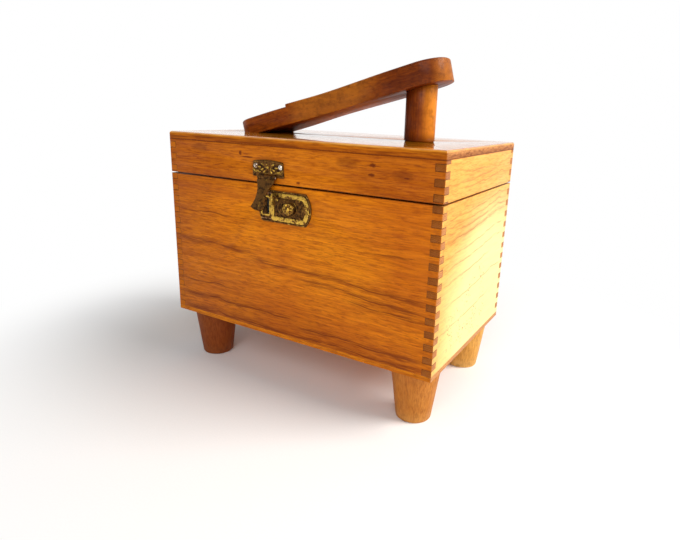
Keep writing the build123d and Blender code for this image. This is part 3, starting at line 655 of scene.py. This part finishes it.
def foot_marks(shader, place):
    """The feet's knocks and dirt, with painted shade darkening the front left foot and painted light making
    the rear right one paler.
    """
    stain_and_shade, scuff_and_light, tint = floor_marks(shader, place)
    x, y, _ = shader.parts(place)
    # painted shade on the front left foot, painted light on the rear right one
    for side, shade in (("LESS_THAN", (0.48, 0.31, 0.33)), ("GREATER_THAN", (1.30, 1.75, 2.30))):
        one_foot = shader.times(shader.math(side, x, 0.0), shader.math(side, y, 0.0))
        tint = shader.mix(one_foot, tint, shade)
    return stain_and_shade, scuff_and_light, tint


# ---- metals ----
def brass(name, rubbed, relief=0.1, bright=None, soiling=0.46):
    """Old brass: browned, rubbed bright by the given share, with more grime at a lower soiling level."""
    settings = bpy.context.scene.box_brass
    material, shader, surface, place, _ = new_material(name)
    cloud = shader.noise(place, 230.0, 4.0, 0.6)
    shine = shader.ramp(cloud, 0.62 - 0.28 * rubbed, 0.78 - 0.26 * rubbed)
    tone = shader.mix(shine, settings.aged, bright or settings.bright)
    dirt = shader.patches(place, 300.0 - 120.0 * rubbed, 4.0, soiling, soiling + 0.22, 0.6)
    dirty = shader.times(dirt, 0.95 - 0.2 * rubbed)
    grain = shader.scaled(cloud, 0.25, 0.36 - 0.22 * rubbed)
    shader.set(surface, Base_Color=shader.mix(dirty, tone, settings.grime), Specular_IOR_Level=0.12,
               Metallic=shader.scaled(dirty, -0.7, 1.0), Roughness=shader.scaled(dirty, 0.3, grain))
    pits = shader.noise(place, 1300.0, 3.0)
    shader.bump(surface, shader.scaled(cloud, 1.2, pits), 0.5, relief * MM)
    return material


def dull_steel(name):
    """Steel that has greyed, with specks of rust."""
    material, shader, surface, place, _ = new_material(name)
    rust = shader.patches(place, 500.0, 4.0, 0.55, 0.70)
    shader.set(surface, Base_Color=shader.mix(rust, (0.42, 0.40, 0.37), (0.20, 0.09, 0.04)),
               Metallic=shader.scaled(rust, -0.8, 1.0), Roughness=shader.scaled(rust, 0.35, 0.34))
    shader.bump(surface, shader.noise(place, 1500.0, 3.0), 0.4, 0.05 * MM)
    return material


# ---- finishes ----
CASE_JOINTS = {"datum": CASE_LOW.z}
LID_JOINTS = {"datum": CASE_LOW.z - LID_FINGER_SHIFT}
LEFT_END = {"cut": CUT_SOFT, "rubbed": (0.96, 0.86, 0.40)}
# the right end's rubbed colour also colours its painted highlight
RIGHT_END = {"cut": CUT_DARK, "rubbed": (0.96, 0.86, 0.40)}
TOP_POLISH = {"varnish": 1.0, "gloss": 0.05, "wear": 0.1, "rubbed": (0.86, 0.40, 0.06)}
FOOTREST_POLISH = {"cut": CUT_DARK, "varnish": 0.2, "gloss": 0.2}

# colours, grain, seed, direction that bare inner faces look, marks, own settings
WOODS = {
    "case_front_wood": ("amber", "X", 1, (0, 1, 0), front_marks, CASE_JOINTS),
    "lid_front_wood": ("amber", "X", 1, (0, 1, 0), front_marks, LID_JOINTS),
    "case_back_wood": ("amber", "X", 4, (0, -1, 0), back_marks, CASE_JOINTS),
    "lid_back_wood": ("amber", "X", 4, (0, -1, 0), back_marks, LID_JOINTS),
    "case_left_wood": ("golden", "Y", 7, (1, 0, 0), end_marks, CASE_JOINTS | LEFT_END),
    "lid_left_wood": ("golden", "Y", 7, (1, 0, 0), end_marks, LID_JOINTS | LEFT_END),
    "case_right_wood": ("golden", "Y", 3, (-1, 0, 0), end_marks, CASE_JOINTS | RIGHT_END),
    "lid_right_wood": ("golden", "Y", 3, (-1, 0, 0), end_marks, LID_JOINTS | RIGHT_END),
    "lid_top_board_wood": ("amber", "X", 5, (0, 0, -1), top_marks, TOP_POLISH),
    "bottom_panel_wood": ("amber", "X", 8, (0, 0, 1), floor_marks, {}),
    # the footrest's and the post's rubbed colours also colour their painted light
    "footrest_board_wood": ("brown", "SLOPE", 2, None, sole_marks,
                            FOOTREST_POLISH | {"rubbed": (0.66, 0.23, 0.020)}),
    "footrest_post_wood": ("brown", "Z", 6, None, post_marks,
                           FOOTREST_POLISH | {"rubbed": (0.66, 0.215, 0.014)}),
    "foot_wood": ("foot", "Z", 9, None, foot_marks, {"varnish": 0.15, "gloss": 0.35}),
}

BRASSES = {
    "rubbed_brass": {"rubbed": 0.9, "relief": 0.05, "soiling": 0.56},
    "aged_brass": {"rubbed": 0.35},
    "petal_brass": {"rubbed": 0.75, "relief": 0.05, "soiling": 0.50},
    "tongue_brass": {"rubbed": 0.12, "soiling": 0.42},
    "grimy_brass": {"rubbed": 0.0, "soiling": 0.38},
    "copper_worn": {"rubbed": 0.7, "relief": 0.05, "bright": (0.78, 0.42, 0.24), "soiling": 0.60},
    "bright_metal": {"rubbed": 1.0, "relief": 0.02, "bright": (0.80, 0.72, 0.62), "soiling": 0.60},
}


@cache
def material_for(name):
    """A finish by name, made the first time that it is asked for."""
    if name in BRASSES:
        return brass(name, **BRASSES[name])
    if name == "dull_steel":
        return dull_steel(name)
    colours, grain, seed, inside, marks, own = WOODS[name]
    settings = bpy.context.scene.box_wood
    pale, dark = (tuple(getattr(settings, f"{colours}_{shade}")) for shade in ("pale", "dark"))
    return wood(name, pale, dark, grain, seed, inside, marks, **own)


# ---- modelling ----
def activate(piece):
    bpy.ops.object.select_all(action="DESELECT")
    piece.select_set(True)
    bpy.context.view_layer.objects.active = piece


def edit(piece, kind="FACE", action="SELECT"):
    """Enter edit mode on one piece, with all of it selected or nothing."""
    activate(piece)
    bpy.ops.object.mode_set(mode="EDIT")
    bpy.ops.mesh.select_mode(type=kind)
    bpy.ops.mesh.select_all(action=action)


def leave_edit():
    bpy.ops.object.mode_set(mode="OBJECT")


def copy_of(node, name):
    """A CAD node's shape as a piece of its own, with its triangles merged into faces."""
    piece = bpy.data.objects.new(name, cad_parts[node].data.copy())
    bpy.context.scene.collection.objects.link(piece)
    activate(piece)
    bpy.ops.mesh.customdata_custom_splitnormals_clear()
    edit(piece)
    bpy.ops.mesh.remove_doubles(threshold=0.002 * MM)
    bpy.ops.mesh.dissolve_limited(angle_limit=radians(0.4))
    leave_edit()
    return piece


def soften(piece, width, segments=2, limit=35):
    """Round every sharp edge a little, as handling does."""
    activate(piece)
    bevel = piece.modifiers.new("edges", "BEVEL")
    bevel.width = width
    bevel.segments = segments
    bevel.limit_method = "ANGLE"
    bevel.angle_limit = radians(limit)
    bevel.use_clamp_overlap = True
    bpy.ops.object.modifier_apply(modifier=bevel.name)
    bpy.ops.object.shade_smooth_by_angle(angle=radians(40))


def paint(piece, finish):
    piece.data.materials.clear()
    piece.data.materials.append(material_for(finish))


def worn_copy(node, name, width, finish, segments=2):
    """A CAD node's shape as a piece with softened edges and a finish."""
    piece = copy_of(node, name)
    soften(piece, width, segments)
    paint(piece, finish)
    return piece


def settle(piece, body, slot, *nodes):
    """Put a finished piece on its body, in place of the nodes that it stands for."""
    activate(piece)
    bpy.ops.object.transform_apply(location=True, rotation=True, scale=True)
    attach(piece, body)
    if nodes:
        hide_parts(*nodes)


def finish_node(node, finish):
    """Give a CAD node a finish without touching its shape."""
    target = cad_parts[node]
    if not target.material_slots:
        target.data.materials.append(None)
    target.material_slots[0].material = material_for(finish)


def dress(piece, ornaments):
    """Join ornaments to a piece, listed under the finish that they get."""
    for finish, parts in ornaments.items():
        for part in parts:
            paint(part, finish)
    activate(piece)
    for part in sum(ornaments.values(), []):
        part.select_set(True)
    bpy.ops.object.join()


# ---- ornament: places and the reach of outlines in metres, sizes and bulges in millimetres ----
def front_face(name, points, y, corners=(), rounding=0.0):
    """A flat face through front-view points, with some of its corners rounded."""
    bpy.ops.object.select_all(action="DESELECT")
    bpy.ops.mesh.primitive_circle_add(vertices=len(points), radius=MM, fill_type="NGON")
    piece = bpy.context.object
    piece.name = name
    for vertex, (x, z) in zip(piece.data.vertices, points):
        vertex.co = (x, y, z)
    if corners:
        edit(piece, "VERT", "DESELECT")
        leave_edit()
        for index in corners:
            piece.data.vertices[index].select = True
        bpy.ops.object.mode_set(mode="EDIT")
        bpy.ops.mesh.bevel(offset=rounding * MM, segments=5, affect="VERTICES")
        leave_edit()
    return piece


def raised(piece, height, width=None):
    """Raise a flat front face towards the front; a width leaves only a band along its outline."""
    edit(piece)
    if width:
        bpy.ops.mesh.inset(thickness=width * MM, use_even_offset=True)
        bpy.ops.mesh.delete(type="FACE")
        bpy.ops.mesh.select_all(action="SELECT")
    bpy.ops.mesh.extrude_region_move(TRANSFORM_OT_translate={"value": (0, -height * MM, 0)})
    bpy.ops.mesh.select_all(action="SELECT")
    bpy.ops.mesh.normals_make_consistent(inside=False)
    leave_edit()
    soften(piece, min(height * 0.45, 0.3) * MM, 3, 30)
    return piece


@cache
def half_ball():
    """The dome that every leaf, bead and petal is a copy of, modelled once: a ball cut through its middle."""
    bpy.ops.object.select_all(action="DESELECT")
    bpy.ops.mesh.primitive_uv_sphere_add(segments=16, ring_count=8, radius=1)
    ball = bpy.context.object
    bpy.ops.object.shade_smooth()
    edit(ball)
    bpy.ops.mesh.bisect(plane_co=(0, 0, 0), plane_no=(0, 0, 1), use_fill=True, clear_inner=True)
    leave_edit()
    dome = ball.data
    bpy.data.objects.remove(ball)
    return dome


def drop(x, z, y, size, turn=0.0):
    """A low oval boss on a front face: a dome, stretched and turned in the front view."""
    piece = bpy.data.objects.new("drop", half_ball().copy())
    bpy.context.scene.collection.objects.link(piece)
    piece.location, piece.rotation_euler = (x, y, z), (pi / 2, turn, 0)
    piece.scale = [length * MM for length in size]
    return piece


def rosette(x, z, y, reach, petals, size, centre):
    """A plain flower: its domed centre, and its petals round that."""
    turns = [2 * pi * number / petals for number in range(petals)]
    reach = reach * MM
    dome = drop(x, z, y, (centre, centre, centre * 0.7))
    return dome, [drop(x + reach * cos(turn), z + reach * sin(turn), y, size, -turn) for turn in turns]


def trail(points, y, thickness):
    """A scroll line on a front face, along a smooth curve through front-view control points."""
    bpy.ops.object.select_all(action="DESELECT")
    bpy.ops.curve.primitive_nurbs_path_add(location=(0, 0, 0))
    piece = bpy.context.object
    line = piece.data.splines[0]
    line.points.add(max(0, len(points) - len(line.points)))
    for point, (x, z) in zip(line.points, points):
        point.co = (x, y, z, 1)
    line.order_u = 3
    line.use_endpoint_u = True
    piece.data.bevel_depth = thickness * MM
    piece.data.bevel_resolution = 3
    piece.data.use_fill_caps = True
    bpy.ops.object.convert(target="MESH")
    bpy.ops.object.shade_smooth()
    return piece


def bulged(left, right, half, left_bulge, right_bulge, steps=6):
    """Outline round the lock's height, straight above and below with bowed ends, and its corners' numbers."""
    def end(side, bulge, sign):
        shares = [sign * (1 - 2 * step / steps) for step in range(steps + 1)]
        return [(side - bulge * share ** 2, LOCK_Z + half * share) for share in shares]
    points = end(right, right_bulge * MM, 1) + end(left, -left_bulge * MM, -1)
    return points, (0, steps, steps + 1, 2 * steps + 1)


def oval(x, half_length, half_height, count=48):
    """An outline round a place at the lock's height."""
    turns = [2 * pi * number / count for number in range(count)]
    return [(x + half_length * MM * cos(turn), LOCK_Z + half_height * MM * sin(turn)) for turn in turns]


# ---- operators ----
class BOX_OT_boards(bpy.types.Operator):
    """Boards of the case and lid, with worn edges and varnish"""
    bl_idname = "box.boards"
    bl_label = "Boards"

    def execute(self, context):
        boards = {
            "case": ("case_front", "case_back", "case_left", "case_right", "bottom_panel"),
            "lid": ("lid_front", "lid_back", "lid_left", "lid_right", "lid_top_board"),
        }
        for body, nodes in boards.items():
            for node in nodes:
                board = worn_copy(node, "worn_" + node, context.scene.box_wood.edge_round, node + "_wood")
                settle(board, body, "box_wood", node)
        return {"FINISHED"}


class BOX_OT_feet(bpy.types.Operator):
    """Turned feet"""
    bl_idname = "box.feet"
    bl_label = "Feet"

    def execute(self, context):
        for node in ("foot_front_left", "foot_front_right", "foot_rear_left", "foot_rear_right"):
            foot = worn_copy(node, "turned_" + node, 0.5 * MM, "foot_wood")
            settle(foot, "case", "foot_wood", node)
        return {"FINISHED"}


class BOX_OT_footrest(bpy.types.Operator):
    """Footrest board and its post"""
    bl_idname = "box.footrest"
    bl_label = "Footrest"

    def execute(self, context):
        for node in ("footrest_board", "footrest_post"):
            piece = worn_copy(node, "worn_" + node, 0.5 * MM, node + "_wood")
            settle(piece, "lid", "footrest_wood", node)
        return {"FINISHED"}


class BOX_OT_lock(bpy.types.Operator):
    """Embossed lock plate with its nails, and the rosette button"""
    bl_idname = "box.lock"
    bl_label = "Lock"

    def execute(self, context):
        plate = worn_copy("lock_plate", "embossed_lock_plate", 0.12 * MM, "grimy_brass")
        face = SHEET_Y + 0.1 * MM
        left, right, half = PLATE_LOW.x, PLATE_HIGH.x, (PLATE_HIGH.z - PLATE_LOW.z) / 2

        outline, corners = bulged(left, right, half, 3.0, 6.5)
        rim = raised(front_face("rim", outline, face, corners, 2.5), 0.4, 1.0)
        outline, corners = bulged(-19.6 * MM, right - 2.2 * MM, half - 2.0 * MM, 0, 5.0)
        band = raised(front_face("band", outline, face, corners, 4.5), 0.6, 4.4)
        outline, corners = bulged(-32.6 * MM, -19.9 * MM, 10.4 * MM, 0, 0)
        slot_frame = raised(front_face("slot_frame", outline, face, corners, 3.0), 0.45, 1.7)
        edge = raised(front_face("boss_edge", oval(BOSS_X, 12.3, 8.6), face), 1.1, 0.9)

        beads, leaves = [], []
        for number in range(9):
            x = (-31.5 + 1.95 * number) * MM
            beads += [drop(x, LOCK_Z + side * 13.1 * MM, face, (0.72, 0.72, 0.5)) for side in (-1, 1)]
        for turn in (-2.4, -1.6, -0.8, 0.8, 1.6, 2.4):
            x, z = right - 6.0 * MM - 4.0 * MM * cos(turn), LOCK_Z - 4.0 * MM * sin(turn)
            leaves.append(drop(x, z, face, (2.7, 1.45, 1.25), -turn))
        for x, z, turn in ((2.5, 11.7, 0.6), (15.6, 8.0, -0.7), (12.0, -11.0, 0.5), (16.5, -8.6, 0.9),
                           (9.0, -12.2, 0.1), (-12.0, 7.6, 0.8), (-12.6, -7.4, -0.8)):
            leaves.append(drop(x * MM, LOCK_Z + z * MM, face, (2.3, 1.2, 1.0), turn))
        curl = ((-12.5, 5.0), (-14.5, 8.0), (-11.5, 10.2), (-8.0, 9.6), (-5.5, 10.9))
        for side in (-1, 1):
            leaves.append(trail([(x * MM, LOCK_Z + side * z * MM) for x, z in curl], face - 0.2 * MM, 0.5))
        dress(plate, {"rubbed_brass": [band, slot_frame], "copper_worn": beads,
                      "aged_brass": [rim, edge, *leaves]})
        settle(plate, "case", "latch_brass", "lock_plate")

        nails = worn_copy("lock_plate_nails", "domed_plate_nails", 0.1 * MM, "aged_brass")
        settle(nails, "case", "latch_brass", "lock_plate_nails")

        button = worn_copy("lock_button", "rosette_button", 0.15 * MM, "aged_brass")
        front = BUTTON_LOW.y + 0.15 * MM
        dome, petals = rosette(BUTTON_X, LOCK_Z, front, 4.1, 9, (1.9, 1.15, 1.0), 2.5)
        cup = raised(front_face("cup", oval(BUTTON_X, 6.3, 5.5), front), 0.45, 0.7)
        dress(button, {"rubbed_brass": [dome], "petal_brass": [*petals, cup]})
        settle(button, "lock_slide", "latch_brass", "lock_button")
        return {"FINISHED"}


class BOX_OT_hasp(bpy.types.Operator):
    """Embossed hasp plate, its screws and pin, and the hourglass tongue"""
    bl_idname = "box.hasp"
    bl_label = "Hasp"

    def execute(self, context):
        plate = worn_copy("hasp_plate", "embossed_hasp_plate", 0.12 * MM, "grimy_brass")
        face = SHEET_Y + 0.1 * MM
        middle, axis = HASP_PIN.x, HASP_PIN.z
        half, top, low = 19.3 * MM, axis + 14.6 * MM, axis + 3.2 * MM
        arch = [(middle + half * share, top + 1.7 * MM * (1 - share ** 2))
                for share in (1, 0.75, 0.5, 0.25, 0, -0.25, -0.5, -0.75, -1)]
        outline = arch + [(middle - half, low), (middle + half, low)]
        border = raised(front_face("border", outline, face, (0, 8, 9, 10), 1.5), 0.5, 1.2)
        dome, petals = rosette(middle, axis + 9.7 * MM, face, 2.9, 6, (1.7, 1.0, 0.9), 1.5)
        curl = ((17.2, 7.0), (17.4, 4.9), (14.6, 4.4), (11.5, 5.2), (9.0, 4.6))
        leaves = []
        for side in (-1, 1):
            for x, z, turn in ((6.6, 12.4, 0.5), (7.2, 7.4, -0.5), (10.8, 9.7, 0.0), (4.5, 5.1, -0.9),
                               (13.6, 5.6, 0.2)):
                place = middle + side * x * MM
                leaves.append(drop(place, axis + z * MM, face, (2.1, 0.95, 0.9), -side * turn))
            points = [(middle + side * x * MM, axis + z * MM) for x, z in curl]
            leaves.append(trail(points, face - 0.1 * MM, 0.45))
        dress(plate, {"rubbed_brass": [dome, *leaves], "aged_brass": [border, *petals]})
        settle(plate, "lid", "latch_brass", "hasp_plate")

        for node, name, width, finish, segments, body in (
                ("hasp_plate_screws", "domed_hasp_screws", 0.1, "bright_metal", 2, "lid"),
                ("hasp_pin", "peened_hasp_pin", 0.25, "bright_metal", 3, "lid"),
                ("hasp_tongue", "worn_hasp_tongue", 0.35, "tongue_brass", 3, "hasp")):
            settle(worn_copy(node, name, width * MM, finish, segments), body, "latch_brass", node)
        return {"FINISHED"}


class BOX_OT_fittings(bpy.types.Operator):
    """Hinges, screws, the staple and the lock's inner parts"""
    bl_idname = "box.fittings"
    bl_label = "Hinges and fasteners"

    def execute(self, context):
        sides, parts = ("left", "right"), ("case_leaf", "lid_leaf", "pin")
        hinges = [f"hinge_{side}_{part}" for side in sides for part in parts]
        screws = [f"{place}_screws" for place in ("hinge_case", "hinge_lid", "foot", "footrest_heel")]
        finishes = {
            "aged_brass": (*hinges, "hasp_staple"),
            "dull_steel": (*screws, "footrest_post_screw", "lock_case", "lock_bolt", "lock_spring"),
        }
        for finish, nodes in finishes.items():
            for node in nodes:
                finish_node(node, finish)
        return {"FINISHED"}


# ---- stage ----
def camera_turn(settings):
    """Rotation of a camera that looks from an azimuth and elevation, with a roll."""
    az, el, roll = settings.azimuth, settings.elevation, settings.roll
    back = Vector((sin(az) * cos(el), -cos(az) * cos(el), sin(el)))
    level = Vector((0, 0, 1)).cross(back).normalized()
    above = back.cross(level)
    right = cos(roll) * level + sin(roll) * above
    up = cos(roll) * above - sin(roll) * level
    return Matrix((right, up, back)).transposed()


def floor_material():
    """Pale floor that keeps the object's shadow and fades into the white round it."""
    material, shader, surface, place, _ = new_material("pale_floor")
    speck = shader.patches(place, 600.0, 2.0, 0.3, 0.7)
    shader.set(surface, Base_Color=shader.mix(speck, (0.93, 0.93, 0.93), (0.95, 0.95, 0.95)),
               Roughness=0.9, Specular_IOR_Level=0.1)
    far = shader.ramp(shader.vector("LENGTH", place), 0.22, 0.52)
    white = shader.node("Emission")
    shader.set(white, Strength=1.0)
    blend = shader.node("MixShader")
    shader.feed_row(blend.inputs, (shader.times(far, shader.rays()[1]), surface.outputs[0], white.outputs[0]))
    shader.set(material.node_tree.nodes["Material Output"], Surface=blend.outputs[0])
    return material


def studio_world():
    """White to the camera, with soft light from all round."""
    world = bpy.data.worlds.new("studio")
    world.use_nodes = True
    shader = Shader(world.node_tree)
    direct, seen = shader.rays()
    # reflections see the white backdrop behind the box and a dimmer room on its near side
    toward = shader.vector("DOT_PRODUCT", shader.node("TexCoord").outputs["Generated"], BACKDROP)
    backdrop = shader.times(shader.ramp(toward, -0.15, 0.35), 0.85)
    room = shader.scaled(backdrop, seen, bpy.context.scene.box_stage.ambient)
    shader.set(world.node_tree.nodes["Background"], Color=(1, 1, 1),
               Strength=shader.math("MINIMUM", shader.most(direct, room), 1.0))
    return world


def area_light(name, place, aim, size, power, colour=(1, 1, 1)):
    """A soft rectangular light that faces a point."""
    bpy.ops.object.light_add(type="AREA", location=place)
    lamp = bpy.context.object
    lamp.name = name
    lamp.data.shape = "RECTANGLE"
    lamp.data.size, lamp.data.size_y = size
    lamp.data.energy = power
    lamp.data.color = colour
    lamp.rotation_euler = (Vector(place) - Vector(aim)).to_track_quat("Z", "Y").to_euler()
    lamp.visible_camera = False


class BOX_OT_stage(bpy.types.Operator):
    """Pale floor, soft light and the camera"""
    bl_idname = "box.stage"
    bl_label = "Stage"

    def execute(self, context):
        settings = context.scene.box_stage
        bpy.ops.object.select_all(action="DESELECT")
        bpy.ops.mesh.primitive_plane_add(size=12, location=(0, 0, 0))
        floor = context.object
        floor.name = "floor"
        floor.data.materials.append(floor_material())

        context.scene.world = studio_world()
        middle = (0, 0, 0.16)
        area_light("side_light", (2.1, 0.6, 1.9), middle, (1.5, 1.5), settings.key_power, (1.0, 0.97, 0.92))
        area_light("front_light", (0.9, -2.2, 1.5), middle, (2.0, 1.6), settings.fill_power)

        bpy.ops.object.camera_add(location=settings.eye)
        camera = context.object
        camera.name = "camera"
        camera.rotation_euler = camera_turn(settings).to_euler()
        camera.data.lens = settings.lens
        camera.data.sensor_width = SENSOR
        camera.data.shift_x, camera.data.shift_y = LENS_SHIFT
        camera.data.clip_start = 0.01
        context.scene.camera = camera
        context.scene.view_settings.view_transform = "Standard"
        return {"FINISHED"}


class BOX_PT_panel(bpy.types.Panel):
    """Lists the steps that finish the box"""
    bl_idname = "BOX_PT_panel"
    bl_label = "Shoe Shine Box"
    bl_space_type = "VIEW_3D"
    bl_region_type = "UI"
    bl_category = "Shine Box"

    def draw(self, context):
        for step in STEPS:
            self.layout.operator(step.bl_idname)


STEPS = (BOX_OT_boards, BOX_OT_feet, BOX_OT_footrest, BOX_OT_lock, BOX_OT_hasp, BOX_OT_fittings, BOX_OT_stage)
SETTINGS = {"box_wood": WoodSettings, "box_brass": BrassSettings, "box_stage": StageSettings}


def register():
    for kind in (*SETTINGS.values(), *STEPS, BOX_PT_panel):
        bpy.utils.register_class(kind)
    for name, kind in SETTINGS.items():
        setattr(bpy.types.Scene, name, bpy.props.PointerProperty(type=kind))


def unregister():
    for name in SETTINGS:
        delattr(bpy.types.Scene, name)
    for kind in reversed((*SETTINGS.values(), *STEPS, BOX_PT_panel)):
        bpy.utils.unregister_class(kind)


def main():
    register()
    for step in STEPS:
        family, name = step.bl_idname.split(".")
        getattr(getattr(bpy.ops, family), name)()


if __name__ == "__main__":
    main()
